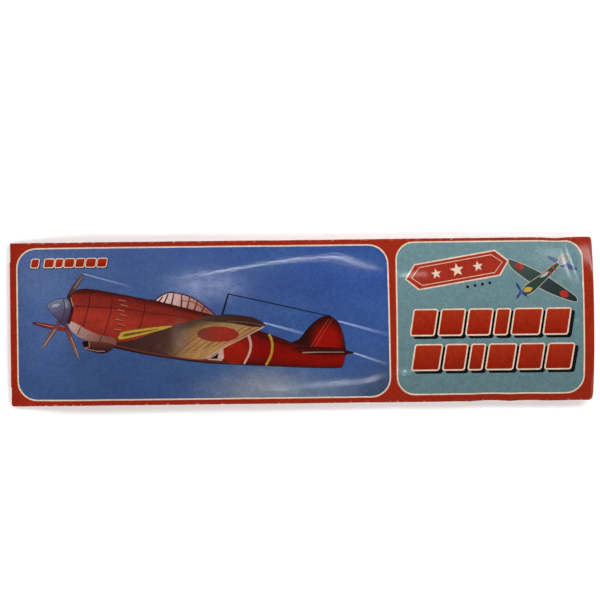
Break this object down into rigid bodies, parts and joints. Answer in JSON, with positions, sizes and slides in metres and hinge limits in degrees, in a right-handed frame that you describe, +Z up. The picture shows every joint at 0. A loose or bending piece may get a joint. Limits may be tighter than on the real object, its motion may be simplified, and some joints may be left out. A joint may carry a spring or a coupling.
{
  "type": "balsa hand glider kit in a paper packet",
  "caption": "Slim glossy printed paper packet, folded shut at one end, holding a flat balsa hand glider kit: wing, fuselage, tailplane and ballasted nose with propeller.",
  "frame": {"origin": "centre of the packet's box at its lowest face, the back that it lies on", "axes": "+X along the packet towards its open mouth, +Y across it towards the printed front's upper edge, +Z up out of the printed front"},
  "size_m": [0.21, 0.059, 0.0106],
  "materials": {
    "printed_paper": "gloss",
    "paper_back": "satin",
    "printed_balsa": "matte",
    "block_plastic": "satin",
    "propeller_plastic": "gloss",
    "spinner_plastic": "gloss",
    "steel": "satin"
  },
  "bodies": {
    "packet": {"packet_front": "printed_paper", "back_lap_outer": "paper_back", "back_lap_inner": "paper_back", "end_flap": "paper_back"},
    "wing": {"wing": "printed_balsa"},
    "fuselage": {"fuselage": "printed_balsa"},
    "tailplane": {"tailplane": "printed_balsa"},
    "nose_unit": {"nose_block": "block_plastic", "nose_weight_left": "steel", "nose_weight_right": "steel"},
    "propeller": {"propeller": "propeller_plastic", "spinner": "spinner_plastic", "propeller_shaft": "steel"}
  },
  "joints": [
    {"name": "wing_slide", "type": "slide", "parent": "packet", "child": "wing", "axis": [1, 0, 0], "range_m": [0, 0.2]},
    {"name": "fuselage_slide", "type": "slide", "parent": "wing", "child": "fuselage", "axis": [1, 0, 0], "range_m": [0, 0.2]},
    {"name": "tailplane_slide", "type": "slide", "parent": "fuselage", "child": "tailplane", "axis": [1, 0, 0], "range_m": [0, 0.14]},
    {"name": "nose_slide", "type": "slide", "parent": "tailplane", "child": "nose_unit", "axis": [1, 0, 0], "range_m": [0, 0.05]},
    {"name": "propeller_spin", "type": "hinge", "parent": "nose_unit", "child": "propeller", "pos_m": [0.081, 0, 0.006], "axis": [0, 0, 1], "continuous": true}
  ]
}
